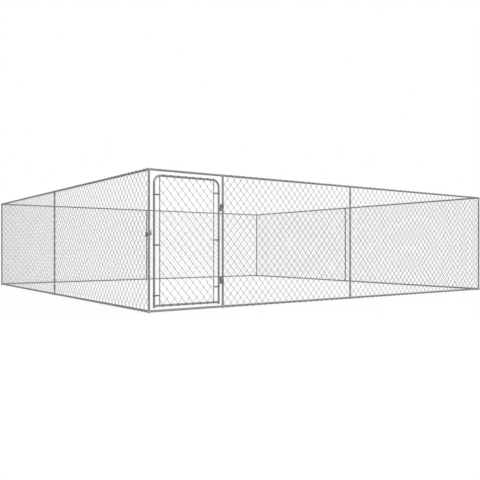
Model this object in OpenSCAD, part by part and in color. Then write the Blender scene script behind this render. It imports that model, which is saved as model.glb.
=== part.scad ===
// Outdoor dog run: a square pen of round steel posts and rails, two bays to a side, hung with
// diamond mesh, with one round-topped mesh door beside the front left post.
// Millimetres, +Z up. The origin is on the ground at the middle of the pen, the door wall
// faces -Y, and +X points to the right of someone who faces the door from outside.

/* [Pen] */
// Distance between the post centres of one bay
bay = 3960; // [3000:10:4500]
// Height from the ground to the top of the rails
pen_h = 2005; // [1900:10:2400]
// Distance between the centres of the front left post and the door post
door_bay = 1231; // [1000:1:1400]

/* [Tubes] */
// Outside diameter of every post, rail and door tube
tube_d = 32; // [28:0.5:36]
// Wall of the tubes
tube_wall = 1.5; // [1:0.1:2.5]

/* [Fittings] */
// How far the ground fittings stand down below the rails
foot_h = 6.5; // [6:0.5:15]
// Length of a spigot inside its tube
spigot_l = 60; // [40:1:90]
// Radial gap between a spigot and its tube
spigot_gap = 0.2; // [0.1:0.05:0.4]
// Shank diameter of a frame screw
screw_d = 5; // [4:0.5:6]
// Length of a frame screw under its head
screw_l = 12; // [9:0.5:13]
// Width of a frame screw's head across its flats
screw_af = 8; // [7:0.5:10]
// Height of a frame screw's head
screw_head_h = 3; // [2:0.5:4]
// Radial gap round the shank of a screw or bolt
screw_gap = 0.1; // [0.05:0.05:0.3]

/* [Mesh] */
// Width of one diamond
mesh_w = 123; // [100:1:160]
// Height of one diamond
mesh_h = 138; // [100:1:160]
// Thickness of the wire
wire_d = 5.4; // [3:0.1:6]
// The solid nets draw one wire in this many
wire_step = 2; // [2:1:4]
// Gap between the front and the back runs of wire
weave_gap = 0.4; // [0.2:0.1:1]
// Width of the closed edge round a net
net_edge = 8; // [6:0.5:12]
// How far that edge stands out past the wires
edge_lip = 0.3; // [0.2:0.1:1]
// Gap between a net's edge and the rail or bar that it hangs on
net_gap = 0.3; // [0.2:0.05:0.5]

/* [Door] */
// Clear gap between the latch stile and the front left post
latch_gap = 47; // [42:0.5:52]
// Clear gap between the hinge stile and the door post
hinge_gap = 42; // [32:0.5:48]
// Clear gap between the header and the door's top rail
header_gap = 44; // [28:1:68]
// Clear gap between the sill and the door's bottom rail
sill_gap = 39; // [32:1:68]
// How far the stiles run on below the bottom rail
stile_foot = 14; // [4:1:24]
// Bend radius of the frame's top corners, on the tube's centre line
bend_r = 104; // [70:1:115]
// Gap left where a tube or a hinge eye is welded on
weld_gap = 0.1; // [0.05:0.05:0.2]

/* [Tension bars] */
// Width of the open strip between a stile and its tension bar
strip_w = 64; // [56:1:86]
// Width of a tension bar
bar_w = 16; // [12:0.5:20]
// Thickness of a tension bar
bar_t = 4; // [3:0.5:5]
// Gap between a tension bar and the legs of its bands
bar_gap = 0.2; // [0.1:0.05:0.4]
// Height of a tension band
band_h = 21; // [18:0.5:28]
// Lowest band of the latch stile, above the bottom rail's centre
latch_band_low = 142; // [100:1:300]
// Highest band of the latch stile, below the top rail's centre
latch_band_high = 268; // [150:1:350]
// Lowest band of the hinge stile, above the bottom rail's centre
hinge_band_low = 230; // [150:1:270]
// Highest band of the hinge stile, below the top rail's centre
hinge_band_high = 198; // [120:1:300]

/* [Clamps] */
// Thickness of the bands' and clamps' strap
strap_t = 2.5; // [2:0.1:3]
// Radial gap between a strap and the tube that it goes round
strap_gap = 0.1; // [0.05:0.05:0.2]
// Slit between the two flanges of a clamp
slit_w = 3; // [2:0.5:4]
// Length of a clamp's flanges beyond the tube
flange_l = 32; // [26:1:38]
// Diameter of a clamp bolt or band bolt
bolt_d = 6; // [5:0.5:8]
// Width of a bolt's head and nut across the flats
bolt_af = 10; // [9:0.5:13]
// Height of a bolt's head
bolt_head_h = 4; // [3:0.5:5]
// Height of a bolt's nut
bolt_nut_h = 5; // [4:0.5:6.5]

/* [Hinges] */
// Lower hinge, above the door's bottom rail
hinge_low = 323; // [300:1:500]
// Upper hinge, below the door's top rail
hinge_high = 412; // [320:1:600]
// Height of the clamp that carries a hinge pin
hinge_clamp_h = 54; // [40:1:60]
// Height of a hinge eye
eye_h = 48; // [36:1:60]
// Diameter of a hinge pin
pin_d = 10; // [8:0.5:11]
// Radial running gap of a pin in its bore
pin_gap = 0.05; // [0.02:0.01:0.1]
// How far a hinge pin shows beyond its eye
pin_tip = 4; // [2:0.5:8]
// Gap between the moving faces of a hinge or the latch
run_gap = 0.4; // [0.3:0.05:0.6]
// Outside diameter of a hinge barrel
barrel_d = 24; // [18:0.5:26]
// Width of the web that joins a hinge barrel to its strap
hinge_web = 10; // [8:0.5:15]
// Direction of a hinge clamp's flanges, from the wall's line
hinge_flange_angle = 60; // [50:1:75]

/* [Latch] */
// Height of the latch pivot above the ground
latch_z = 1085; // [800:1:1200]
// Height of the latch clamp
latch_clamp_h = 57; // [40:1:60]
// Distance from the post's face to the latch pivot
latch_reach = 12; // [11.5:0.5:15]
// Radius of the latch barrel and of the fork's eyes
latch_eye_r = 8.5; // [7:0.5:11]
// Direction of the latch clamp's flanges, from the wall's line
latch_flange_angle = 150; // [140:1:180]
// Thickness of the web that joins the latch barrel to its clamp
latch_web = 12; // [8:0.5:16]
// Diameter of the latch pivot
pivot_d = 8; // [6:0.5:10]
// Width of the pivot's two heads across the flats
pivot_af = 13; // [11:0.5:16]
// Height of the pivot's heads
pivot_head_h = 5; // [4:0.5:7]
// Thickness of a prong of the fork
prong_t = 4; // [3:0.5:6]
// Width of a prong of the fork
prong_w = 16; // [12:0.5:18]
// Room between a prong and the stile
prong_room = 3; // [2:0.5:5]
// How far the prongs run straight past the stile's axis
prong_over = 4; // [2:1:20]
// Diameter of the fork's cross bar
cross_d = 8; // [6:0.5:10]
// Lean of the open fork over its post, past upright
fork_lean = 8; // [0:1:8]

/* [Hidden] */
$fn = 48;
STATION_NAMES = [
    "front_left", "door", "front_mid", "front_right", "right_mid",
    "back_right", "back_mid", "back_left", "left_mid"
];
SPAN_NAMES = [
    "doorway", "front_left", "front_right", "right_front", "right_back",
    "back_right", "back_left", "left_back", "left_front"
];
// Posts in order round the pen, anticlockwise from above
STATIONS = [
    [-bay, -bay], [-bay + door_bay, -bay], [0, -bay], [bay, -bay], [bay, 0],
    [bay, bay], [0, bay], [-bay, bay], [-bay, 0]
];
LAST = len(STATIONS) - 1;
FRONT_LEFT = 0;
DOOR_POST = 1;
CORNERS = [for (i = [0 : LAST]) if (is_corner(i)) i];
TEES = [for (i = [0 : LAST]) if (!is_corner(i)) i];
// The doorway is the span from the front left post; every other span has a net
NET_SPANS = [for (i = [0 : LAST]) if (i != FRONT_LEFT) i];

TUBE_COLOUR = "#9b9ea2";
FITTING_COLOUR = "#8f9296";
WIRE_COLOUR = "#a6a9ad";
HARDWARE_COLOUR = "#767a7f";
SCREW_COLOUR = "#b4b7ba";

// Cuts run past the faces that they go through
over = 1;
hex_ratio = 2 / sqrt(3);
tube_r = tube_d / 2;
bore_d = tube_d - 2 * tube_wall;
low_z = foot_h + tube_r;
top_z = pen_h - tube_r;
post_low_z = low_z + tube_r;
post_l = top_z - tube_r - post_low_z;
screw_hole_d = screw_d + 2 * screw_gap;
screw_in = spigot_l / 2;

// The door, measured along the front wall from the front left post
latch_stile_x = tube_d + latch_gap;
hinge_stile_x = door_bay - tube_d - hinge_gap;
door_top_z = top_z - tube_d - header_gap;
door_low_z = low_z + tube_d + sill_gap;
stile_low_z = door_low_z - tube_r - stile_foot;
bar_low_z = door_low_z + tube_r + net_gap;
bar_in = tube_r + strip_w + bar_w / 2;
// How far the bend's underside hangs below the top rail's, at a distance from the stile's axis
function bend_dip(x) = bend_r - tube_r - sqrt(pow(bend_r - tube_r, 2) - pow(max(bend_r - x, 0), 2));
under_top_l = door_top_z - tube_r - net_gap - bar_low_z;
bar_l = under_top_l - bend_dip(bar_in - bar_w / 2);
door_net_l = under_top_l - bend_dip(bar_in + bar_w / 2 + net_gap);
latch_bar_x = latch_stile_x + bar_in;
hinge_bar_x = hinge_stile_x - bar_in;
latch_band_ends = [door_low_z + latch_band_low, door_top_z - latch_band_high];
hinge_band_ends = [door_low_z + hinge_band_low, door_top_z - hinge_band_high];

// Straps go round a tube, and nets keep clear of the straps
strap_in_r = tube_r + strap_gap;
strap_out_r = strap_in_r + strap_t;
net_side = strap_gap + strap_t + net_gap;
leg_w = bar_t + 2 * bar_gap + 2 * strap_t;
leg_end = bar_in + bar_w / 2;
band_bolt_x = bar_in - bar_w / 2 - bolt_d;
flange_w = slit_w + 2 * strap_t;
flange_end = tube_r + flange_l;
clamp_bolt_x = (strap_out_r + flange_end) / 2;

// Hinge pins stand midway between the hinge stile and the door post
pin_off = (tube_d + hinge_gap) / 2;
eye_r = barrel_d / 2;
hinge_upper_z = door_top_z - hinge_high;
hinge_lower_z = door_low_z + hinge_low;

// The latch fork, measured from its pivot along its prongs
pivot_x = tube_r + latch_reach;
prong_in = tube_r + prong_room;
prong_l = latch_gap - latch_reach + tube_r + prong_over;
cross_x = latch_gap - latch_reach - prong_room - cross_d / 2;

// The next and the last post round the pen, and the way from a post to the next
function after(i) = (i + 1) % len(STATIONS);
function before(i) = (i + LAST) % len(STATIONS);
function way(i) = STATIONS[after(i)] - STATIONS[i];
function span(i) = norm(way(i));
function heading(i) = atan2(way(i).y, way(i).x);
function is_corner(i) = heading(i) != heading(before(i));
function middle(ends) = (ends[0] + ends[1]) / 2;

// Frame helpers

// Puts its children at a post, with +X towards the next post and +Y into the pen
module at_station(i) {
    translate([STATIONS[i].x, STATIONS[i].y, 0])
        rotate(heading(i))
            children();
}

// Turns a shape drawn along +Z so that it runs along +X
module along_x() {
    rotate([0, 90, 0])
        children();
}

// Turns a shape drawn along +Z so that it runs along +Y
module along_y() {
    rotate([-90, 0, 0])
        children();
}

module tube(l) {
    difference() {
        cylinder(d = tube_d, h = l);
        translate([0, 0, -over])
            cylinder(d = bore_d, h = l + 2 * over);
    }
}

// A round hole through one wall of a tube, from its axis outwards along +Z
module screw_hole() {
    cylinder(d = screw_hole_d, h = tube_d, $fn = 8);
}

// A hex-headed screw whose head sits on the tube, seen from the tube's axis along +Z
module screw() {
    translate([0, 0, tube_r])
        cylinder(d = screw_af * hex_ratio, h = screw_head_h, $fn = 6);
    translate([0, 0, tube_r - screw_l])
        cylinder(d = screw_d, h = screw_l + screw_head_h / 2, $fn = 8);
}

// Turns a shape drawn along +Z so that it points out of the pen
module outwards() {
    rotate([90, 0, 0])
        children();
}

// The same at a post, and at a corner midway between its two walls
module post_outwards(i) {
    rotate(is_corner(i) ? -45 : 0)
        outwards()
            children();
}

// Frame

module post(i) {
    color(TUBE_COLOUR)
        at_station(i)
            translate([0, 0, post_low_z])
                difference() {
                    tube(post_l);
                    for (z = [screw_in, post_l - screw_in])
                        translate([0, 0, z])
                            post_outwards(i)
                                screw_hole();
                }
}

module rail(i, z) {
    l = span(i) - tube_d;
    color(TUBE_COLOUR)
        at_station(i)
            translate([tube_r, 0, z])
                difference() {
                    along_x() tube(l);
                    for (x = [screw_in, l - screw_in])
                        translate([x, 0, 0])
                            outwards()
                                screw_hole();
                }
}

// A spigot that starts on a face of its block and points along +Z
module spigot() {
    cylinder(d = bore_d - 2 * spigot_gap, h = tube_r + spigot_l);
}

// One block with a spigot to each tube that meets there; up is 1 at the ground and -1 at the top
module fitting(i, z, up) {
    back = is_corner(i) ? 90 : 180;
    foot = up > 0 ? foot_h : 0;
    screw_x = tube_r + screw_in;
    at_station(i)
        translate([0, 0, z])
            difference() {
                union() {
                    translate([-tube_r, -tube_r, -tube_r - foot])
                        cube([tube_d, tube_d, tube_d + foot]);
                    for (turn = [0, back])
                        rotate(turn) along_x() spigot();
                    rotate([90 - 90 * up, 0, 0]) spigot();
                }
                translate([screw_x, 0, 0])
                    outwards() pilot();
                rotate(back)
                    translate([screw_x, 0, 0])
                        along_y() pilot();
                translate([0, 0, up * screw_x])
                    post_outwards(i) pilot();
            }
}

// The hole that a screw's shank takes in a spigot
module pilot() {
    translate([0, 0, tube_r - screw_l - screw_gap])
        cylinder(d = screw_hole_d, h = tube_d, $fn = 8);
}

module fittings(stations, z, up) {
    color(FITTING_COLOUR)
        for (i = stations)
            fitting(i, z, up);
}

module rail_screws() {
    color(SCREW_COLOUR)
        for (i = [0 : LAST], z = [low_z, top_z], x = [tube_r + screw_in, span(i) - tube_r - screw_in])
            at_station(i)
                translate([x, 0, z])
                    outwards()
                        screw();
}

module post_screws() {
    color(SCREW_COLOUR)
        for (i = [0 : LAST], z = [post_low_z + screw_in, post_low_z + post_l - screw_in])
            at_station(i)
                translate([0, 0, z])
                    post_outwards(i)
                        screw();
}

// Nets

// A straight run of wire between two points of a net's plane, y from its middle
module wire_run(from, to, y) {
    run = to - from;
    translate([from.x, y, from.y])
        rotate([0, -atan2(run.y, run.x), 0])
            translate([0, -wire_d / 2, -wire_d / 2])
                cube([norm(run), wire_d, wire_d]);
}

// A flat net from the origin to [w, h]: falling runs in front, rising runs behind, in a closed edge
module net(w, h) {
    thick = 2 * (wire_d + edge_lip) + weave_gap;
    layer = (wire_d + weave_gap) / 2;
    across = w - net_edge;
    up = h - net_edge;
    columns = max(1, round(across / (mesh_w * wire_step)));
    rows = max(1, round(up / (mesh_h * wire_step)));
    cell = [across / columns, up / rows];
    difference() {
        translate([0, -thick / 2, 0])
            cube([w, thick, h]);
        translate([net_edge, -thick / 2 - over, net_edge])
            cube([w - 2 * net_edge, thick + 2 * over, h - 2 * net_edge]);
    }
    translate([net_edge / 2, 0, net_edge / 2])
        for (k = [1 : columns + rows - 1]) {
            high = [max(0, k - rows) * cell.x, min(k, rows) * cell.y];
            low = [min(k, columns) * cell.x, max(0, k - columns) * cell.y];
            wire_run(high, low, -layer);
            wire_run([across - low.x, low.y], [across - high.x, high.y], layer);
        }
}

module wall_net(i) {
    color(WIRE_COLOUR)
        at_station(i)
            translate([tube_r + net_side, 0, low_z + tube_r + net_gap])
                net(span(i) - tube_d - 2 * net_side, top_z - low_z - tube_d - 2 * net_gap);
}

// Bolts and clamps

// A bolt along +Z through a grip centred on the origin, with its head below and its nut above
module bolt(grip) {
    translate([0, 0, -grip / 2 - bolt_head_h])
        cylinder(d = bolt_af * hex_ratio, h = bolt_head_h, $fn = 6);
    translate([0, 0, -grip / 2 - bolt_head_h / 2])
        cylinder(d = bolt_d, h = grip + bolt_head_h / 2 + bolt_nut_h);
    translate([0, 0, grip / 2])
        cylinder(d = bolt_af * hex_ratio, h = bolt_nut_h, $fn = 6);
}

// The plan of a strap round a tube, with two flanges along +X
module clamp_plan() {
    circle(r = strap_out_r);
    translate([0, -flange_w / 2])
        square([flange_end, flange_w]);
}

// What a clamp leaves open: the tube and the slit
module clamp_room() {
    circle(r = strap_in_r);
    translate([0, -slit_w / 2])
        square([flange_end + over, slit_w]);
}

module clamp_bolt_hole() {
    translate([clamp_bolt_x, 0, 0])
        along_y()
            cylinder(d = bolt_d + 2 * screw_gap, h = flange_w + 2 * over, center = true);
}

// Door

module door_frame() {
    color(TUBE_COLOUR)
        at_station(FRONT_LEFT) {
            for (x = [latch_stile_x, hinge_stile_x])
                translate([x, 0, stile_low_z])
                    tube(door_top_z - bend_r - stile_low_z);
            translate([latch_stile_x + bend_r, 0, door_top_z])
                along_x()
                    tube(hinge_stile_x - latch_stile_x - 2 * bend_r);
            frame_bend(latch_stile_x + bend_r, 90);
            frame_bend(hinge_stile_x - bend_r, 0);
        }
}

// A quarter bend of the frame's tube round a centre at x, from the given angle upwards
module frame_bend(x, start) {
    translate([x, 0, door_top_z - bend_r])
        rotate([90, 0, 0])
            rotate(start)
                rotate_extrude(angle = 90)
                    translate([bend_r, 0])
                        difference() {
                            circle(d = tube_d);
                            circle(d = bore_d);
                        }
}

module door_bottom_rail() {
    color(TUBE_COLOUR)
        at_station(FRONT_LEFT)
            difference() {
                translate([latch_stile_x, 0, door_low_z])
                    along_x()
                        tube(hinge_stile_x - latch_stile_x);
                for (x = [latch_stile_x, hinge_stile_x])
                    translate([x, 0, door_low_z - tube_d])
                        cylinder(r = tube_r + weld_gap, h = 2 * tube_d);
            }
}

module tension_bar(x) {
    color(HARDWARE_COLOUR)
        at_station(FRONT_LEFT)
            translate([x - bar_w / 2, -bar_t / 2, bar_low_z])
                cube([bar_w, bar_t, bar_l]);
}

module door_net() {
    from = latch_bar_x + bar_w / 2 + net_gap;
    color(WIRE_COLOUR)
        at_station(FRONT_LEFT)
            translate([from, 0, bar_low_z])
                net(hinge_bar_x - bar_w / 2 - net_gap - from, door_net_l);
}

// Puts its children at the six bands, with +X from the stile to its tension bar
module at_bands() {
    for (z = [latch_band_ends[0], middle(latch_band_ends), latch_band_ends[1]])
        translate([latch_stile_x, 0, z])
            children();
    for (z = [hinge_band_ends[0], middle(hinge_band_ends), hinge_band_ends[1]])
        translate([hinge_stile_x, 0, z])
            rotate(180)
                children();
}

module tension_bands() {
    color(HARDWARE_COLOUR)
        at_station(FRONT_LEFT)
            at_bands()
                difference() {
                    linear_extrude(band_h, center = true)
                        difference() {
                            union() {
                                circle(r = strap_out_r);
                                translate([0, -leg_w / 2])
                                    square([leg_end, leg_w]);
                            }
                            circle(r = strap_in_r);
                            translate([0, -leg_w / 2 + strap_t])
                                square([leg_end + over, leg_w - 2 * strap_t]);
                        }
                    translate([band_bolt_x, 0, 0])
                        along_y()
                            cylinder(d = bolt_d + 2 * screw_gap, h = leg_w + 2 * over, center = true);
                }
}

module band_bolts() {
    color(SCREW_COLOUR)
        at_station(FRONT_LEFT)
            at_bands()
                translate([band_bolt_x, 0, 0])
                    along_y()
                        bolt(leg_w);
}

// Hinges

// Puts its children at a hinge's split, on the door post's axis; side is 1 for a clamp above its eye
module at_hinge(z, side) {
    at_station(DOOR_POST)
        translate([0, 0, z])
            mirror([0, 0, side > 0 ? 0 : 1])
                children();
}

module hinge_clamp(z, side) {
    color(HARDWARE_COLOUR)
        at_hinge(z, side) {
            difference() {
                linear_extrude(hinge_clamp_h)
                    difference() {
                        union() {
                            rotate(hinge_flange_angle) clamp_plan();
                            translate([-pin_off, 0])
                                circle(r = eye_r);
                            translate([-pin_off, -hinge_web / 2])
                                square([pin_off, hinge_web]);
                        }
                        rotate(hinge_flange_angle) clamp_room();
                    }
                translate([0, 0, hinge_clamp_h / 2])
                    rotate(hinge_flange_angle)
                        clamp_bolt_hole();
            }
            translate([-pin_off, 0, -run_gap - eye_h - pin_tip])
                cylinder(d = pin_d, h = pin_tip + eye_h + run_gap + hinge_clamp_h / 2);
        }
}

module hinge_bolts() {
    color(SCREW_COLOUR)
        for (hinge = [[hinge_upper_z, 1], [hinge_lower_z, -1]])
            at_hinge(hinge[0], hinge[1])
                translate([0, 0, hinge_clamp_h / 2])
                    rotate(hinge_flange_angle)
                        translate([clamp_bolt_x, 0, 0])
                            along_y()
                                bolt(flange_w);
}

module hinge_eye(z, side) {
    saddle_r = tube_r + weld_gap + strap_t;
    color(HARDWARE_COLOUR)
        at_hinge(z, side)
            translate([-pin_off, 0, -run_gap - eye_h])
                linear_extrude(eye_h)
                    difference() {
                        union() {
                            circle(r = eye_r);
                            translate([-pin_off, -hinge_web / 2])
                                square([pin_off, hinge_web]);
                            intersection() {
                                translate([-pin_off, 0])
                                    circle(r = saddle_r);
                                translate([-pin_off + tube_r / 2, -saddle_r])
                                    square([pin_off, 2 * saddle_r]);
                            }
                        }
                        circle(r = pin_d / 2 + pin_gap);
                        translate([-pin_off, 0])
                            circle(r = tube_r + weld_gap);
                    }
}

// Latch

module at_latch() {
    at_station(FRONT_LEFT)
        translate([0, 0, latch_z])
            children();
}

module latch_clamp() {
    barrel_l = 2 * (prong_in - run_gap);
    color(HARDWARE_COLOUR)
        at_latch()
            difference() {
                union() {
                    linear_extrude(latch_clamp_h, center = true)
                        rotate(latch_flange_angle)
                            clamp_plan();
                    translate([pivot_x, 0, 0])
                        along_y()
                            cylinder(r = latch_eye_r, h = barrel_l, center = true);
                    translate([0, -latch_web / 2, -latch_web / 2])
                        cube([pivot_x, latch_web, latch_web]);
                }
                linear_extrude(latch_clamp_h + 2 * over, center = true)
                    rotate(latch_flange_angle)
                        clamp_room();
                translate([pivot_x, 0, 0])
                    along_y()
                        cylinder(r = pivot_d / 2 + pin_gap, h = barrel_l + 2 * over, center = true);
                rotate(latch_flange_angle)
                    clamp_bolt_hole();
            }
}

module latch_bolt() {
    color(SCREW_COLOUR)
        at_latch()
            rotate(latch_flange_angle)
                translate([clamp_bolt_x, 0, 0])
                    along_y()
                        bolt(flange_w);
}

// The open fork stands up beside its post; its prongs lie along +X before it is turned up
module latch_fork() {
    color(HARDWARE_COLOUR)
        at_latch()
            translate([pivot_x, 0, 0])
                rotate([0, -90 - fork_lean, 0]) {
                    for (y = [-prong_in - prong_t / 2, prong_in + prong_t / 2])
                        translate([0, y, 0])
                            prong();
                    translate([cross_x, 0, 0])
                        along_y()
                            cylinder(d = cross_d, h = 2 * prong_in + prong_t, center = true);
                }
}

module prong() {
    rotate([90, 0, 0])
        linear_extrude(prong_t, center = true)
            difference() {
                union() {
                    circle(r = latch_eye_r);
                    translate([0, -prong_w / 2])
                        square([prong_l, prong_w]);
                    translate([prong_l, 0])
                        circle(d = prong_w);
                }
                circle(r = pivot_d / 2 + pin_gap);
            }
}

module latch_pivot() {
    grip = 2 * (prong_in + prong_t + run_gap);
    color(SCREW_COLOUR)
        at_latch()
            translate([pivot_x, 0, 0])
                along_y() {
                    cylinder(d = pivot_d, h = grip + pivot_head_h, center = true);
                    for (side = [0, 1])
                        mirror([0, 0, side])
                            translate([0, 0, grip / 2])
                                cylinder(d = pivot_af * hex_ratio, h = pivot_head_h, $fn = 6);
                }
}

for (i = [0 : LAST])
    post(i);
for (i = [0 : LAST])
    rail(i, top_z);
for (i = [0 : LAST])
    rail(i, low_z);
for (i = NET_SPANS)
    wall_net(i);
fittings(CORNERS, top_z, -1);  // top_corners
fittings(TEES, top_z, -1);  // top_tees
fittings(CORNERS, low_z, 1);  // bottom_corners
fittings(TEES, low_z, 1);  // bottom_tees
rail_screws();
post_screws();
door_frame();
door_bottom_rail();
door_net();
tension_bar(latch_bar_x);  // tension_bar_latch
tension_bar(hinge_bar_x);  // tension_bar_hinge
tension_bands();
band_bolts();
hinge_eye(hinge_upper_z, 1);  // hinge_eye_upper
hinge_eye(hinge_lower_z, -1);  // hinge_eye_lower
hinge_clamp(hinge_upper_z, 1);  // hinge_clamp_upper
hinge_clamp(hinge_lower_z, -1);  // hinge_clamp_lower
hinge_bolts();
latch_clamp();
latch_bolt();
latch_fork();
latch_pivot();
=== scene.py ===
"""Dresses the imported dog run: woven wire nets, zinc finishes, floor, light and camera.

Everything is in metres, in the frame of the CAD model: +Z up, the door wall faces -Y, and the
origin is on the ground at the middle of the pen.
"""

import logging
import math
from dataclasses import dataclass, field
from enum import Enum
from functools import cached_property
from typing import Any

import bpy
import numpy as np
from numpy.typing import NDArray
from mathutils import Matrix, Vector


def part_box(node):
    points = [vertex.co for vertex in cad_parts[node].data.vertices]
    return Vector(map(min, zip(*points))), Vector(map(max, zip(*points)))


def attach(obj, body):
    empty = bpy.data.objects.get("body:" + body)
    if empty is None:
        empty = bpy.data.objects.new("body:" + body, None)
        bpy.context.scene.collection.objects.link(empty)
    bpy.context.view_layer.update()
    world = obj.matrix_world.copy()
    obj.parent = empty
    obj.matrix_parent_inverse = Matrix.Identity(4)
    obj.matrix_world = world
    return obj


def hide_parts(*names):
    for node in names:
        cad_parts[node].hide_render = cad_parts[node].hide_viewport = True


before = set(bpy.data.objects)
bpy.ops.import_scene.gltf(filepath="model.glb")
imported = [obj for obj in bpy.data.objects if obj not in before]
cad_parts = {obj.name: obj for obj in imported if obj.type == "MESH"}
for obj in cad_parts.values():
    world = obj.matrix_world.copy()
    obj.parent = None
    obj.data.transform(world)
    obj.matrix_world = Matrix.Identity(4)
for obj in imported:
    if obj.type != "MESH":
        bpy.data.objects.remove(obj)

LOG = logging.getLogger("dog_run")
Floats = NDArray[np.float64]
Faces = NDArray[np.int64]
Skin = tuple[Floats, Faces, Faces]
Colour = tuple[float, float, float]
Place = tuple[float, float, float]

MM = 0.001
RIGHT: Floats = np.array([1.0, 0.0, 0.0])
UP: Floats = np.array([0.0, 0.0, 1.0])
# The attribute of a net's points that says how far each faces out of the pen, less on runs behind;
# where it is low, the wire is painted lighter: painted light on its inward face, a painted highlight
# on runs behind
OUTSIDE = "outside"
# The middle of a mask or a noise that runs from 0 to 1
MIDDLE = 0.5
# The turn between two faces from which the edge between them is drawn sharp
SHARP_DEG = 40.0
WHITE = (1.0, 1.0, 1.0, 1.0)


class Body(str, Enum):
    """The rigid bodies that new pieces ride on."""

    FRAME = "frame"
    DOOR = "door"


class Slot(str, Enum):
    """The material slots, one kept on each finish."""

    TUBE = "galvanised_tube"
    WIRE = "mesh_wire"
    FITTING = "fitting"
    HARDWARE = "zinc_hardware"
    FASTENER = "bright_fastener"


class Axis(Enum):
    """The way a drawn tube or bar runs, as the share of each axis kept in its draw lines."""

    X = (0.015, 1.0, 1.0)
    Y = (1.0, 0.015, 1.0)
    Z = (1.0, 1.0, 0.015)
    NONE = (1.0, 1.0, 1.0)


class Wall(Enum):
    """The four walls, with the way along each one, left to right seen from outside."""

    FRONT = (1.0, 0.0, 0.0)
    RIGHT = (0.0, 1.0, 0.0)
    BACK = (-1.0, 0.0, 0.0)
    LEFT = (0.0, -1.0, 0.0)

    @property
    def along(self) -> Floats:
        """The unit vector along the wall."""
        return np.array(self.value)

    @property
    def outward(self) -> Floats:
        """The unit vector that points out of the pen."""
        return np.cross(self.along, UP)


# Shader nodes


class Graph:
    """Adds shader nodes to one tree and links them."""

    def __init__(self, tree: bpy.types.NodeTree) -> None:
        """Takes the tree that the nodes go into."""
        self.tree = tree

    def node(self, kind: str, inputs: dict[Any, Any] | None = None,
             **settings: Any) -> bpy.types.Node:
        """Adds one node.

        Args:
            kind: Blender's name of the node type.
            inputs: values or output sockets for its input sockets, by name or number.
            settings: the node's own properties.

        Returns:
            The new node.
        """
        made = self.tree.nodes.new(kind)
        for name, value in settings.items():
            setattr(made, name, value)
        for name, value in (inputs or {}).items():
            if isinstance(value, bpy.types.NodeSocket):
                self.tree.links.new(value, made.inputs[name])
            else:
                made.inputs[name].default_value = value
        return made

    def math(self, operation: str, *values: Any, clamp: bool = False) -> bpy.types.NodeSocket:
        """One step of arithmetic.

        Args:
            operation: Blender's name of the operation.
            values: numbers or sockets, in order.
            clamp: whether the result is held between 0 and 1.

        Returns:
            The socket that holds the result.
        """
        made = self.node("ShaderNodeMath", dict(enumerate(values)), operation=operation,
                         use_clamp=clamp)
        return made.outputs[0]

    def remap(self, value: Any, low: float, high: float, to_low: Any,
              to_high: Any) -> bpy.types.NodeSocket:
        """Carries a value smoothly from one range into another.

        Args:
            value: the socket to carry over.
            low: the start of its range.
            high: the end of its range.
            to_low: what the start becomes.
            to_high: what the end becomes.

        Returns:
            The socket that holds the result.
        """
        inputs = {"Value": value, "From Min": low, "From Max": high,
                  "To Min": to_low, "To Max": to_high}
        made = self.node("ShaderNodeMapRange", inputs, interpolation_type="SMOOTHSTEP")
        return made.outputs["Result"]

    def place(self) -> bpy.types.NodeSocket:
        """The shaded point in the object's own coordinates, which are the frame's."""
        return self.node("ShaderNodeTexCoord").outputs["Object"]

    def noise(self, place: Any, fineness: Any, detail: float,
              roughness: float = 0.5) -> bpy.types.Node:
        """Adds a noise texture.

        Args:
            place: the socket that holds the point.
            fineness: its scale.
            detail: how many finer layers it has.
            roughness: how much the finer layers count.

        Returns:
            The noise node.
        """
        inputs = {"Vector": place, "Scale": fineness, "Detail": detail, "Roughness": roughness}
        return self.node("ShaderNodeTexNoise", inputs)

    def blend(self, share: Any, first: Any, second: Any) -> bpy.types.NodeSocket:
        """Mixes two colours.

        Args:
            share: how much of the second colour shows, from 0 to 1.
            first: a colour or a socket.
            second: a colour or a socket.

        Returns:
            The socket that holds the mixed colour.
        """
        made = self.node("ShaderNodeMix", data_type="RGBA")
        for slot, value in ((0, share), (6, first), (7, second)):
            if isinstance(value, bpy.types.NodeSocket):
                self.tree.links.new(value, made.inputs[slot])
            elif slot:
                made.inputs[slot].default_value = (*value, 1.0)
            else:
                made.inputs[slot].default_value = value
        return made.outputs[2]


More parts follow.
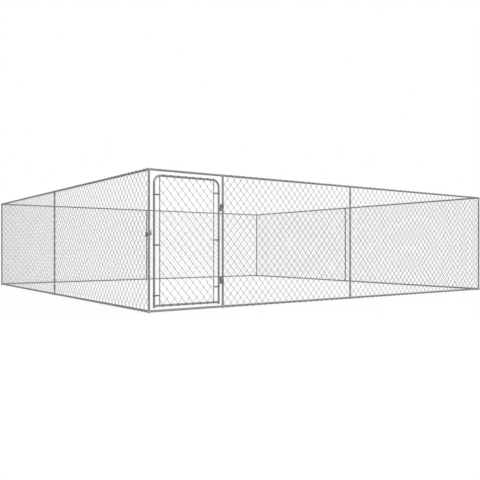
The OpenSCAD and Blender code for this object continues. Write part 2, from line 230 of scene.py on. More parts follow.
class SharedEffects:
    """The surface effects that several finishes use, each a node group that is built once."""

    @staticmethod
    def start(name: str, inputs: dict[str, float], outputs: list[str]) -> tuple[Graph, Any, Any]:
        """Opens a new group with number sockets.

        Args:
            name: the group's name.
            inputs: its inputs and their usual values.
            outputs: its outputs.

        Returns:
            The graph, the sockets that give the inputs and the sockets that take the outputs.
        """
        tree = bpy.data.node_groups.new(name, "ShaderNodeTree")
        for title, value in inputs.items():
            socket = tree.interface.new_socket(title, in_out="INPUT", socket_type="NodeSocketFloat")
            socket.default_value = value
        for title in outputs:
            tree.interface.new_socket(title, in_out="OUTPUT", socket_type="NodeSocketFloat")
        graph = Graph(tree)
        return graph, graph.node("NodeGroupInput").outputs, graph.node("NodeGroupOutput").inputs

    @cached_property
    def spangle(self) -> bpy.types.NodeTree:
        """Zinc crystals: each Voronoi cell takes a chance tone, and slow noise clouds over them.

        Returns:
            A group with Tone, from 0 to 1 about the middle, and Relief for the bump.
        """
        border_wander, border_detail = 0.012, 2.0
        cloud_detail, cloud_roughness = 4.0, 0.6
        crystal_share, cloud_share = 0.7, 1.6
        inputs = {"Cells": 90.0, "Clouds": 5.0, "Contrast": 0.6}
        graph, given, made = self.start("zinc_spangle", inputs, ["Tone", "Relief"])
        place = graph.place()
        wander = graph.noise(place, given["Cells"], border_detail).outputs["Color"]
        bent = graph.node("ShaderNodeMixRGB", {0: border_wander, 1: place, 2: wander},
                          blend_type="ADD").outputs[0]
        cells = graph.node("ShaderNodeTexVoronoi", {"Vector": bent, "Scale": given["Cells"]})
        chance = graph.node("ShaderNodeSeparateColor", {0: cells.outputs["Color"]}).outputs[0]
        clouds = graph.noise(place, given["Clouds"], cloud_detail, cloud_roughness).outputs["Fac"]
        crystal = graph.math("MULTIPLY", graph.math("SUBTRACT", chance, MIDDLE), crystal_share)
        cloud = graph.math("SUBTRACT", clouds, MIDDLE)
        both = graph.math("MULTIPLY_ADD", cloud, cloud_share, crystal)
        tone = graph.math("MULTIPLY_ADD", both, given["Contrast"], MIDDLE, clamp=True)
        graph.tree.links.new(tone, made["Tone"])
        graph.tree.links.new(cells.outputs["Distance"], made["Relief"])
        return graph.tree

    @cached_property
    def draw_lines(self) -> bpy.types.NodeTree:
        """Fine lines that the drawing of a tube leaves: noise stretched along one axis.

        Returns:
            A group whose Lines run from 0 to 1, with the stretch in its three Keep inputs.
        """
        line_detail = 2.0
        inputs = {"Keep X": 1.0, "Keep Y": 1.0, "Keep Z": 1.0, "Fineness": 900.0}
        graph, given, made = self.start("draw_lines", inputs, ["Lines"])
        keep = graph.node("ShaderNodeCombineXYZ", {0: given["Keep X"], 1: given["Keep Y"],
                                                   2: given["Keep Z"]})
        pulled = graph.node("ShaderNodeVectorMath", {0: graph.place(), 1: keep.outputs[0]},
                            operation="MULTIPLY")
        lines = graph.noise(pulled.outputs[0], given["Fineness"], line_detail)
        graph.tree.links.new(lines.outputs["Fac"], made["Lines"])
        return graph.tree

    @cached_property
    def edge_wear(self) -> bpy.types.NodeTree:
        """Where an edge is rubbed: the turn between the true normal and a rounded one, with noise.

        Returns:
            A group whose Worn is 0 on a flat and near 1 along an edge.
        """
        bevel_samples, patch_detail = 4, 3.0
        flat_turn, edge_turn = 0.999, 0.9
        patch_low, patch_high = 0.3, 0.65
        graph, given, made = self.start("edge_wear", {"Reach": 0.0012, "Patches": 160.0}, ["Worn"])
        soft = graph.node("ShaderNodeBevel", {"Radius": given["Reach"]}, samples=bevel_samples)
        true = graph.node("ShaderNodeNewGeometry").outputs["Normal"]
        turn = graph.node("ShaderNodeVectorMath", {0: soft.outputs[0], 1: true},
                          operation="DOT_PRODUCT")
        patches = graph.noise(graph.place(), given["Patches"], patch_detail).outputs["Fac"]
        edge = graph.remap(turn.outputs["Value"], flat_turn, edge_turn, 0.0, 1.0)
        worn = graph.math("MULTIPLY", edge, graph.remap(patches, patch_low, patch_high, 0.0, 1.0))
        graph.tree.links.new(worn, made["Worn"])
        return graph.tree

    @cached_property
    def ground_dust(self) -> bpy.types.NodeTree:
        """Dust that rain throws up: it fades with height above the ground, broken by noise.

        Returns:
            A group whose Dust is 0 on clean metal.
        """
        speck_fineness, speck_detail, speck_roughness = 60.0, 5.0, 0.7
        speck_low, speck_high, thinnest = 0.42, 0.68, 0.15
        graph, given, made = self.start("ground_dust", {"Height": 0.35, "Amount": 0.5}, ["Dust"])
        place = graph.place()
        height = graph.node("ShaderNodeSeparateXYZ", {0: place}).outputs["Z"]
        risen = graph.math("DIVIDE", height, given["Height"])
        fade = graph.math("SUBTRACT", 1.0, risen, clamp=True)
        specks = graph.noise(place, speck_fineness, speck_detail, speck_roughness).outputs["Fac"]
        broken = graph.remap(specks, speck_low, speck_high, thinnest, 1.0)
        dust = graph.math("MULTIPLY", graph.math("MULTIPLY", fade, broken), given["Amount"])
        graph.tree.links.new(dust, made["Dust"])
        return graph.tree

    @cached_property
    def flange_painted_shade(self) -> bpy.types.NodeTree:
        """Painted shade between a clamp's flanges: it starts a way out from the post, broken by
        noise.

        Returns:
            A group whose one output, the painted shade, is 0 on the band and near 1 on the flanges.
        """
        speck_fineness, speck_detail = 220.0, 4.0
        speck_low, speck_high, thinnest = 0.3, 0.6, 0.7
        fade_from, fade_to = 0.8, 1.1
        inputs = {"Post X": 0.0, "Post Y": 0.0, "Way X": 1.0, "Way Y": 0.0, "Start": 0.02}
        graph, given, made = self.start("flange_painted_shade", inputs, ["Dirt"])
        place = graph.place()
        post = graph.node("ShaderNodeCombineXYZ", {0: given["Post X"], 1: given["Post Y"]})
        way = graph.node("ShaderNodeCombineXYZ", {0: given["Way X"], 1: given["Way Y"]})
        off = graph.node("ShaderNodeVectorMath", {0: place, 1: post.outputs[0]},
                         operation="SUBTRACT")
        out = graph.node("ShaderNodeVectorMath", {0: off.outputs[0], 1: way.outputs[0]},
                         operation="DOT_PRODUCT")
        past = graph.math("DIVIDE", out.outputs["Value"], given["Start"])
        specks = graph.noise(place, speck_fineness, speck_detail).outputs["Fac"]
        broken = graph.remap(specks, speck_low, speck_high, thinnest, 1.0)
        shade_mask = graph.math("MULTIPLY", graph.remap(past, fade_from, fade_to, 0.0, 1.0), broken)
        graph.tree.links.new(shade_mask, made["Dirt"])
        return graph.tree


EFFECTS = SharedEffects()


# Finishes


@dataclass(frozen=True)
class PinchDirt:
    """Where a clamp's flanges take painted shade: from start outwards, along their way from the
    post.
    """

    post: str
    way_deg: float
    start: float = 25 * MM
    # The colour of the painted shade
    colour: Colour = (0.034, 0.034, 0.036)


@dataclass(frozen=True)
class ZincFinish:
    """Zinc on steel: crystals, draw lines, rubbed edges, a little dust near the ground, and where
    given, painted shade on clamp flanges and painted light on wires.
    """

    name: str
    slot: Slot
    dark: Colour
    light: Colour
    rubbed: Colour = (0.50, 0.51, 0.52)
    dust: Colour = (0.33, 0.30, 0.26)
    smooth: float = 0.34
    rough: float = 0.52
    cells: float = 90.0
    contrast: float = 0.6
    lines: Axis = Axis.NONE
    line_share: float = 0.0
    wear: bool = False
    dust_amount: float = 0.35
    dust_rough: float = 0.3
    bump_height: float = 0.05 * MM
    bump_strength: float = 0.4
    # Where a wire's outward tones give way to the lighter painted inward ones
    painted_dark_from: float = 0.3
    painted_dark_to: float = 0.7
    # Painted shade on a clamp's flanges, where given
    painted_flange_shade: PinchDirt | None = None
    # Lighter tones painted on a wire's inward face: painted light, where given
    painted_light_inner: tuple[Colour, Colour] | None = None

    def material(self) -> bpy.types.Material:
        """Builds the finish, or finds it where it was built before.

        Returns:
            The material.
        """
        found = bpy.data.materials.get(self.name)
        if found:
            return found
        made = bpy.data.materials.new(self.name)
        made.use_nodes = True
        made.diffuse_color = (*self.light, 1.0)
        graph = Graph(made.node_tree)
        shader = made.node_tree.nodes["Principled BSDF"]
        shader.inputs["Metallic"].default_value = 1.0
        crystals = graph.node("ShaderNodeGroup", node_tree=EFFECTS.spangle)
        crystals.inputs["Cells"].default_value = self.cells
        crystals.inputs["Contrast"].default_value = self.contrast
        tone = crystals.outputs["Tone"]
        if self.line_share:
            lines = graph.node("ShaderNodeGroup", node_tree=EFFECTS.draw_lines)
            for title, keep in zip(("Keep X", "Keep Y", "Keep Z"), self.lines.value):
                lines.inputs[title].default_value = keep
            drawn = graph.math("SUBTRACT", lines.outputs["Lines"], MIDDLE)
            tone = graph.math("MULTIPLY_ADD", drawn, self.line_share, tone, clamp=True)
        colour = graph.blend(tone, self.dark, self.light)
        # A wire's inward face, and the door's runs behind, are painted lighter: painted light and a
        # painted highlight
        if self.painted_light_inner:
            outside = graph.node("ShaderNodeAttribute", attribute_name=OUTSIDE).outputs["Fac"]
            painted_dark_share = graph.remap(outside, self.painted_dark_from, self.painted_dark_to, 0.0, 1.0)
            colour = graph.blend(painted_dark_share, graph.blend(tone, *self.painted_light_inner), colour)
        gloss = graph.remap(tone, 0.0, 1.0, self.rough, self.smooth)
        if self.wear:
            worn = graph.node("ShaderNodeGroup", node_tree=EFFECTS.edge_wear).outputs["Worn"]
            colour = graph.blend(worn, colour, self.rubbed)
        if self.dust_amount:
            dust = graph.node("ShaderNodeGroup", node_tree=EFFECTS.ground_dust)
            dust.inputs["Amount"].default_value = self.dust_amount
            colour = graph.blend(dust.outputs["Dust"], colour, self.dust)
            gloss = graph.math("MULTIPLY_ADD", dust.outputs["Dust"], self.dust_rough, gloss,
                               clamp=True)
        # Painted shade on the clamp's flanges
        if self.painted_flange_shade:
            colour = graph.blend(self.flange_shade_socket(graph, self.painted_flange_shade), colour, self.painted_flange_shade.colour)
        relief = graph.node("ShaderNodeBump", {"Strength": self.bump_strength,
                                               "Distance": self.bump_height,
                                               "Height": crystals.outputs["Relief"]})
        graph.tree.links.new(colour, shader.inputs["Base Color"])
        graph.tree.links.new(gloss, shader.inputs["Roughness"])
        graph.tree.links.new(relief.outputs["Normal"], shader.inputs["Normal"])
        return made

    @staticmethod
    def flange_shade_socket(graph: Graph, painted_flange_shade: PinchDirt) -> bpy.types.NodeSocket:
        """Places the painted shade on one clamp's flanges.

        Args:
            graph: where the nodes go.
            painted_flange_shade: the clamp's place and way.

        Returns:
            The socket that holds the mask.
        """
        low, high = box(painted_flange_shade.post)
        shade_mask = graph.node("ShaderNodeGroup", node_tree=EFFECTS.flange_painted_shade)
        way = math.radians(painted_flange_shade.way_deg)
        values = (*((low + high) / 2)[:2], math.cos(way), math.sin(way), painted_flange_shade.start)
        for title, value in zip(("Post X", "Post Y", "Way X", "Way Y", "Start"), values):
            shade_mask.inputs[title].default_value = float(value)
        return shade_mask.outputs["Dirt"]


TUBE_FINISHES: dict[Axis, ZincFinish] = {
    axis: ZincFinish(f"galvanised_tube_{axis.name.lower()}", Slot.TUBE, (0.19, 0.192, 0.204),
                     (0.28, 0.282, 0.296), lines=axis, line_share=0.5)
    for axis in (Axis.X, Axis.Y, Axis.Z)
}
# The wire's outward face has the dark tones and its inward face lighter ones, painted light; on the
# door the runs behind lean lighter, a painted highlight
WIRE_FINISH = ZincFinish("galvanised_wire", Slot.WIRE, (0.081, 0.079, 0.09), (0.13, 0.127, 0.143),
                         painted_light_inner=((0.297, 0.288, 0.33), (0.477, 0.464, 0.524)),
                         cells=240.0, smooth=0.3, rough=0.45, bump_height=0.02 * MM)
FITTING_FINISH = ZincFinish("cast_fitting", Slot.FITTING, (0.24, 0.245, 0.255),
                            (0.33, 0.335, 0.345), cells=60.0, rough=0.6, smooth=0.42, wear=True,
                            bump_height=0.12 * MM)
BAR_FINISH = ZincFinish("galvanised_bar", Slot.HARDWARE, (0.215, 0.217, 0.23),
                        (0.325, 0.327, 0.342), cells=130.0, lines=Axis.Z, line_share=0.6, wear=True)
HARDWARE_FINISH = ZincFinish("dull_zinc_hardware", Slot.HARDWARE, (0.13, 0.133, 0.14),
                             (0.19, 0.193, 0.2), rubbed=(0.38, 0.385, 0.39), cells=150.0, wear=True,
                             dust_amount=0.2)
FORK_FINISH = ZincFinish("galvanised_fork", Slot.HARDWARE, (0.27, 0.272, 0.287), (0.38, 0.382, 0.4),
                         cells=110.0, wear=True, dust_amount=0.2)
# The latch clamp's flanges carry painted shade
CLAMP_FINISH = ZincFinish("clamp_zinc_painted_shade", Slot.HARDWARE, (0.185, 0.187, 0.197),
                          (0.27, 0.272, 0.284), rubbed=(0.38, 0.385, 0.39), cells=150.0, wear=True,
                          dust_amount=0.2, painted_flange_shade=PinchDirt("post_front_left", 150.0))
WELD_FINISH = ZincFinish("zinc_sprayed_weld", Slot.HARDWARE, (0.2, 0.202, 0.212),
                         (0.34, 0.342, 0.35), cells=500.0, contrast=0.9, smooth=0.45, rough=0.65,
                         bump_height=0.15 * MM)
FASTENER_FINISH = ZincFinish("bright_zinc_fastener", Slot.FASTENER, (0.36, 0.365, 0.37),
                             (0.5, 0.505, 0.51), cells=300.0, smooth=0.24, rough=0.38, wear=True,
                             dust_amount=0.2)


# Meshes


def skin(rings: Floats) -> Skin:
    """Closes stacks of rings into skins.

    Point s of ring i joins point s of ring i + 1, and the first and last rings are closed by one
    face each. Seen along its stack a ring runs clockwise, so that all faces point outwards.

    Args:
        rings: points of shape (stacks, rings, points, 3).

    Returns:
        The vertices, the quads along the sides and the end faces.
    """
    index = np.arange(rings[..., 0].size).reshape(rings.shape[:3])
    after = np.roll(index, -1, axis=2)
    quads = np.stack([index[:, :-1], index[:, 1:], after[:, 1:], after[:, :-1]], axis=-1)
    caps = np.concatenate([index[:, 0], index[:, -1, ::-1]])
    return rings.reshape(-1, 3), quads.reshape(-1, 4), caps


def sweep(paths: Floats, radius: float | Floats, sides: int) -> Skin:
    """Carries a round profile along many paths at once.

    At each point the profile lies across the path's own direction t, on the two vectors t x X and
    (t x X) x t, so a path may turn any way but along X. Point (i, s) of a path is its i-th point
    plus the radius there times the profile at angle 2 pi s / sides. Both ends are closed.

    Args:
        paths: points of shape (paths, points, 3), where X is the local way along the wall.
        radius: the profile's radius, one for all or one for each point of a path.
        sides: how many corners the profile has.

    Returns:
        The vertices, the quads along the sides and the end faces.
    """
    ahead = np.gradient(paths, axis=1)
    ahead /= np.linalg.norm(ahead, axis=2, keepdims=True)
    across = np.cross(ahead, RIGHT)
    across /= np.linalg.norm(across, axis=2, keepdims=True)
    other = np.cross(across, ahead)
    angle = 2 * np.pi * np.arange(sides) / sides
    ring = np.cos(angle)[:, None] * across[:, :, None] + np.sin(angle)[:, None] * other[:, :, None]
    reach = np.broadcast_to(radius, paths.shape[1:2])[:, None, None]
    return skin(paths[:, :, None] + reach * ring)


def make_mesh(name: str, verts: Floats, *groups: Faces) -> bpy.types.Object:
    """Puts arrays into a new smooth mesh object at the origin.

    Args:
        name: the piece's name.
        verts: the vertices, in the frame of the model.
        groups: arrays of faces, each with one number of corners.

    Returns:
        The new object.
    """
    mesh = bpy.data.meshes.new(name)
    corners = np.concatenate([faces.ravel() for faces in groups])
    totals = np.concatenate([np.full(len(faces), faces.shape[1]) for faces in groups])
    starts = np.concatenate([[0], np.cumsum(totals)[:-1]])
    mesh.vertices.add(len(verts))
    mesh.vertices.foreach_set("co", verts.astype(np.float32).ravel())
    mesh.loops.add(len(corners))
    mesh.loops.foreach_set("vertex_index", corners.astype(np.int32))
    mesh.polygons.add(len(totals))
    mesh.polygons.foreach_set("loop_start", starts.astype(np.int32))
    mesh.update(calc_edges=True)
    mesh.shade_smooth()
    mesh.set_sharp_from_angle(angle=math.radians(SHARP_DEG))
    mesh.validate()
    made = bpy.data.objects.new(name, mesh)
    bpy.context.scene.collection.objects.link(made)
    return made


def dress(nodes: list[str], finish: ZincFinish) -> None:
    """Gives CAD nodes a finish.

    Args:
        nodes: the nodes' names.
        finish: what they are finished in.
    """
    for name in nodes:
        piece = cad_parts[name]
        piece.data.materials.clear()
        piece.data.materials.append(finish.material())
        LOG.info("dressed %s in %s", name, finish.name)


def add_piece(name: str, parts: list[Skin], body: Body, finish: ZincFinish,
              nodes: list[str]) -> bpy.types.Object:
    """Makes one piece of several skins, in its finish, on its body.

    Args:
        name: the piece's name.
        parts: the skins that it is made of.
        body: what it rides on.
        finish: what it is finished in.
        nodes: the CAD nodes that it stands for, if any.

    Returns:
        The piece.
    """
    starts = np.cumsum([0] + [len(verts) for verts, _, _ in parts])
    faces = [group + start for start, (_, *groups) in zip(starts, parts) for group in groups]
    piece = make_mesh(name, np.concatenate([verts for verts, _, _ in parts]), *faces)
    piece.data.materials.append(finish.material())
    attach(piece, body.value)
    if nodes:
        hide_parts(*nodes)
    LOG.info("%s: %d faces, in %s", name, len(piece.data.polygons), finish.name)
    return piece


def box(node: str) -> tuple[Floats, Floats]:
    """Measures a CAD node.

    Args:
        node: its name.

    Returns:
        Its lowest and highest corners, as arrays.
    """
    low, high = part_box(node)
    return np.array(low), np.array(high)


def post_nodes() -> list[str]:
    """Names the nodes of all posts.

    Returns:
        The names, in the frame's order.
    """
    return [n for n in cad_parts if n.startswith("post_") and n != "post_screws"]


# Wire nets


@dataclass
class WovenNet:
    """A chain-link net between two rails.

    Each wire zigzags up its own strip. Runs that fall to the right lie in front and runs that rise
    to the right lie behind, and at each turn the wire bends round through the turn of the wire
    beside it. At the rails the wires go round the tube in pairs.

    Attributes:
        piece: the name of the net.
        node: the CAD node that it stands for.
        body: what it rides on.
        wall: the wall that it hangs in.
        left: its left edge along the wall.
        right: its right edge along the wall.
        plane: a point of its middle plane.
        low_z: the height of the bottom rail's axis.
        top_z: the height of the top rail's axis.
        rail_r: the rails' radius.
        wires: how many wires stand side by side.
        rows: how many half diamonds stand on each other.
        beyond: how far past the rails' axes the first and last rows meet.
        lift: how far all rows are raised.
        end_room: how far the wires keep from each edge where they go round a rail.
        painted_highlight_behind: how much lighter the runs behind are painted, a painted highlight.
        wire_r: the wire's radius.
        layer: how far a run lies from the middle plane.
        hook: how far a turn reaches past its strip.
        pair_gap: half the gap between two wires on a rail.
        rail_gap: the gap between a wire and its rail.
        wrap_end: the angle at which a wire ends on its rail.
        turn_points: points to a turn.
        wrap_points: points to an end.
        sides: corners of the wire's profile.
    """

    piece: str
    node: str
    body: Body
    wall: Wall
    left: float
    right: float
    plane: Floats
    low_z: float
    top_z: float
    rail_r: float
    wires: int
    rows: int
    beyond: float = 0.0
    lift: float = 0.0
    end_room: float = 0.0
    painted_highlight_behind: float = 0.0
    wire_r: float = 2.7 * MM
    layer: float = 4.9 * MM
    hook: float = 4.4 * MM
    pair_gap: float = 0.6 * MM
    rail_gap: float = 0.15 * MM
    wrap_end: float = math.radians(205)
    turn_points: int = 5
    wrap_points: int = 11
    sides: int = 6

    def side(self, row: Any) -> Floats:
        """Finds which edge of its strip each wire is at; neighbours alternate.

        Args:
            row: the row, counted from the bottom.

        Returns:
            1 for the right edge and -1 for the left, one for each wire.
        """
        wire = np.arange(self.wires)
        return np.where((wire + row) % 2 == 0, 1.0, -1.0)

    @property
    def strip(self) -> float:
        """Width of one wire's strip, which is half a diamond."""
        return (self.right - self.left - 2 * self.hook) / self.wires

    @property
    def pitch(self) -> float:
        """Height of one row; the first and the last row meet a little beyond the rails' axes."""
        return (self.top_z - self.low_z + 2 * self.beyond) / self.rows

    @property
    def middle(self) -> Floats:
        """The middle line of each wire's strip."""
        return self.left + self.hook + (np.arange(self.wires) + 0.5) * self.strip

    def turns(self) -> Floats:
        """The turns between the rails.

        At angle a from -90 to 90 degrees a turn is at tip - side * layer * (1 - cos a) along the
        wall, side * layer * sin a out of it, and rises by one layer to each side of its row.

        Returns:
            Points of shape (wires, rows - 1, turn points, 3).
        """
        rows = np.arange(1, self.rows)
        angle = np.linspace(-np.pi / 2, np.pi / 2, self.turn_points)
        side = np.stack([self.side(row) for row in rows], axis=1)[:, :, None]
        tip = self.middle[:, None, None] + side * (self.strip / 2 + self.hook)
        row_z = self.low_z - self.beyond + self.lift + rows * self.pitch
        along = tip - side * self.layer * (1 - np.cos(angle))
        out = side * self.layer * np.sin(angle)
        rise = row_z[None, :, None] + self.layer * angle / (np.pi / 2) + np.zeros_like(along)
        return np.stack([along, out, rise], axis=-1)

    def wraps(self, row: int, last: Floats) -> Floats:
        """The ends that go round a rail.

        From the last turn a wire runs straight to where it touches the circle round the rail's axis,
        and follows that circle over to the far side. What its slope leaves between it and its pair
        at that point, it loses with the square of the way to the top of the rail.

        Args:
            row: the row of the rail, 0 for the bottom one.
            last: the last point of each wire before the rail.

        Returns:
            Points of shape (wires, wrap points, 3), from the touching point to the end.
        """
        up = 1.0 if row else -1.0
        axis_z = self.top_z if row else self.low_z
        round_r = self.rail_r + self.wire_r + self.rail_gap
        below = up * (axis_z - last[0, 2])
        reach = math.hypot(below, self.layer)
        touch = math.atan2(self.layer, below) + math.acos(round_r / reach) - math.pi / 2
        angle = np.linspace(touch, self.wrap_end, self.wrap_points)
        edge = self.side(row)
        layer = np.sign(last[:, 1])
        apart = self.wire_r + self.pair_gap
        past = self.beyond + up * self.lift
        left_over = (past - round_r * math.sin(touch)) * self.strip / self.pitch
        toward = np.clip(1 - (angle - touch) / (math.pi / 2 - touch), 0, 1) ** 2
        inset = apart + max(left_over - apart, 0) * toward
        along = (self.middle + edge * self.strip / 2)[:, None] - edge[:, None] * inset
        along = np.clip(along, self.left + self.end_room, self.right - self.end_room)
        out = layer[:, None] * round_r * np.cos(angle)
        rise = np.broadcast_to(axis_z + up * round_r * np.sin(angle), along.shape)
        return np.stack([along, out, rise], axis=-1)

    def paths(self) -> Floats:
        """The middle lines of all wires, bottom to top, in the wall's own axes."""
        turns = self.turns().reshape(self.wires, -1, 3)
        low = self.wraps(0, turns[:, 0])[:, ::-1]
        top = self.wraps(self.rows, turns[:, -1])
        return np.concatenate([low, turns, top], axis=1)

    def build(self) -> bpy.types.Object:
        """Makes the net as one piece that stands for its CAD node.

        Each point keeps how far it faces out of the pen, from 0 to 1; the wire's inward face, low
        there, is painted lighter as painted light. On the runs behind a share comes off that, so
        they are painted lighter: a painted highlight.

        Returns:
            The net.
        """
        paths = self.paths()
        verts, *faces = sweep(paths, self.wire_r, self.sides)
        out = verts.reshape(self.wires, -1, self.sides, 3)[..., 1] - paths[:, :, None, 1]
        axes = np.stack([self.wall.along, self.wall.outward, UP])
        LOG.info("%s: %d wires, %d rows", self.piece, self.wires, self.rows)
        part = (self.plane + verts @ axes, *faces)
        piece = add_piece(self.piece, [part], self.body, WIRE_FINISH, [self.node])
        # The runs behind are painted lighter, a painted highlight
        behind = np.clip(-paths[:, :, None, 1] / self.layer, 0, 1)
        share = (0.5 + 0.5 * out / self.wire_r - self.painted_highlight_behind * behind).astype(np.float32)
        outside = piece.data.attributes.new(OUTSIDE, "FLOAT", "POINT")
        outside.data.foreach_set("value", share.ravel())
        return piece


# Sub-assemblies


@dataclass
class WallFrame:
    """The fixed pen: posts, rails, screws and the eight wall nets."""

    diamond_w: float = 123 * MM
    diamond_h: float = 138 * MM
    beyond_rail: float = 14 * MM
    post_room: float = 5.6 * MM
    screw_room: float = 36 * MM
    lifts: dict[Wall, float] = field(default_factory=lambda: {
        Wall.FRONT: -10 * MM, Wall.RIGHT: 0.0, Wall.BACK: 0.0, Wall.LEFT: 13 * MM,
    })
    spans: dict[str, Wall] = field(default_factory=lambda: {
        "front_left": Wall.FRONT, "front_right": Wall.FRONT,
        "right_front": Wall.RIGHT, "right_back": Wall.RIGHT,
        "back_right": Wall.BACK, "back_left": Wall.BACK,
        "left_back": Wall.LEFT, "left_front": Wall.LEFT,
    })

    def net(self, span: str) -> WovenNet:
        """The net of one bay, fitted between its rails and posts.

        Args:
            span: the bay's name.

        Returns:
            The net, not yet built.
        """
        wall = self.spans[span]
        top_low, top_high = box(f"top_rail_{span}")
        low_low, low_high = box(f"bottom_rail_{span}")
        rail_r = (top_high[2] - top_low[2]) / 2
        ends = np.sort([top_low @ wall.along, top_high @ wall.along])
        across = (top_low + top_high) / 2 @ wall.outward
        left, right = ends[0] + self.post_room, ends[1] - self.post_room
        low_z, top_z = (low_low[2] + low_high[2]) / 2, (top_low[2] + top_high[2]) / 2
        wires = 2 * round((right - left) / self.diamond_w)
        rows = round(2 * (top_z - low_z + 2 * self.beyond_rail) / self.diamond_h)
        return WovenNet(
            piece=f"woven_net_{span}", node=f"net_{span}", body=Body.FRAME, wall=wall,
            left=left, right=right, plane=across * wall.outward, low_z=low_z, top_z=top_z,
            rail_r=rail_r, wires=wires, rows=rows, beyond=self.beyond_rail, lift=self.lifts[wall],
            end_room=self.screw_room,
        )

    def build(self) -> None:
        """Weaves the nets and dresses the tubes and screws."""
        for span in self.spans:
            self.net(span).build()
        rails = [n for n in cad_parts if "_rail_" in n]
        sideways = [n for n in rails if self.runs_along_y(n)]
        dress(post_nodes(), TUBE_FINISHES[Axis.Z])
        dress(sideways, TUBE_FINISHES[Axis.Y])
        dress([n for n in rails if n not in sideways], TUBE_FINISHES[Axis.X])
        dress(["rail_screws", "post_screws"], FASTENER_FINISH)

    @staticmethod
    def runs_along_y(node: str) -> bool:
        """Finds whether a rail is longer along Y than along X.

        Args:
            node: the rail's node.

        Returns:
            True for a rail along Y.
        """
        low, high = box(node)
        return bool(high[1] - low[1] > high[0] - low[0])


@dataclass
class CastFittings:
    """The cast blocks that join posts and rails: rounded edges, and a spigot into each tube."""

    proud: float = 1.4 * MM
    edge_r: float = 4.0 * MM
    edge_points: int = 4
    edge_top_deg: float = 80.0
    spigot_r: float = 14.3 * MM
    spigot_l: float = 60 * MM
    spigot_sides: int = 20
    on_wall: float = 0.001

    def block(self, middle: Floats, half: Floats) -> Skin:
        """A block with all its edges rounded.

        Each corner of the core box, which is smaller than the block by the edge radius, carries an
        eighth of a sphere: ring i is at height angle a, point s at turning angle b, and the point is
        the core's corner plus edge_r * (cos a cos b, cos a sin b, sin a).

        Args:
            middle: the block's middle.
            half: half its size along each axis.

        Returns:
            The block's skin.
        """
        steep = np.linspace(0, math.radians(self.edge_top_deg), self.edge_points)
        height = np.concatenate([-steep[::-1], steep])[:, None]
        quarter = np.linspace(0, np.pi / 2, self.edge_points)
        turn = -(np.arange(4)[:, None] * np.pi / 2 + quarter).ravel()[None]
        level = np.repeat([-1.0, 1.0], self.edge_points)[:, None]
        right = np.repeat([1.0, -1.0, -1.0, 1.0], self.edge_points)[None]
        back = np.repeat([-1.0, -1.0, 1.0, 1.0], self.edge_points)[None]
        signs = np.stack(np.broadcast_arrays(right, back, level), axis=-1)
        level_r = np.cos(height)
        ball = np.stack(np.broadcast_arrays(level_r * np.cos(turn), level_r * np.sin(turn),
                                            np.sin(height)), axis=-1)
        return skin((middle + signs * (half - self.edge_r) + self.edge_r * ball)[None])

    def spigots(self, middle: Floats, ways: Floats) -> Skin:
        """Round plugs from the middle of a block into its tubes: circles at both ends of each way.

        Args:
            middle: the block's middle.
            ways: unit vectors along the tubes, one a row.

        Returns:
            The plugs' skin.
        """
        first = np.where(ways[:, 2:] != 0, RIGHT, UP)
        second = np.cross(first, ways)
        angle = 2 * np.pi * np.arange(self.spigot_sides) / self.spigot_sides
        circle = np.cos(angle)[:, None] * first[:, None] + np.sin(angle)[:, None] * second[:, None]
        ends = np.array([0.0, 1.0])[:, None] * ways[:, None]
        reach = self.tube_r + self.spigot_l
        return skin(middle + reach * ends[:, :, None] + self.spigot_r * circle[:, None])

    @property
    def tube_r(self) -> float:
        """The tubes' radius, from the near corner post."""
        low, high = box("post_front_left")
        return float(high[0] - low[0]) / 2

    def ways(self, place: Floats) -> Floats:
        """The ways that rails leave a joint: those along which the next step is on a wall again.

        Args:
            place: where the tubes' axes meet.

        Returns:
            Unit vectors, one a row.
        """
        bay = box("post_back_right")[1][:2] - self.tube_r
        around = np.array([[1.0, 0.0, 0.0], [-1.0, 0.0, 0.0], [0.0, 1.0, 0.0], [0.0, -1.0, 0.0]])
        step = place + self.spigot_l * around
        share = np.max(np.abs(step[:, :2]) / bay, axis=1)
        return around[np.isclose(share, 1.0, atol=self.on_wall)]

    def joint(self, post: str, top: bool) -> list[Skin]:
        """The block and spigots at one end of a post; a bottom block stands on the ground.

        Args:
            post: the post's node.
            top: whether it is the post's upper end.

        Returns:
            The skins of the fitting.
        """
        low, high = box(post)
        place = (low + high) / 2
        place[2] = high[2] + self.tube_r if top else low[2] - self.tube_r
        wide = self.tube_r + self.proud
        span = np.array([place[2] - wide if top else 0.0, place[2] + wide])
        middle = np.array([place[0], place[1], span.mean()])
        half = np.array([wide, wide, (span[1] - span[0]) / 2])
        ways = np.vstack([self.ways(place), -UP if top else UP])
        return [self.block(middle, half), self.spigots(place, ways)]

    def build(self) -> None:
        """Makes the four groups of fittings."""
        posts = post_nodes()
        tees = [n for n in posts if n.endswith("_mid") or n == "post_door"]
        corners = [n for n in posts if n not in tees]
        for kind, group in (("corners", corners), ("tees", tees)):
            for level, top in (("top", True), ("bottom", False)):
                node = f"{level}_{kind}"
                parts = [part for post in group for part in self.joint(post, top)]
                add_piece(f"cast_{node}", parts, Body.FRAME, FITTING_FINISH, [node])


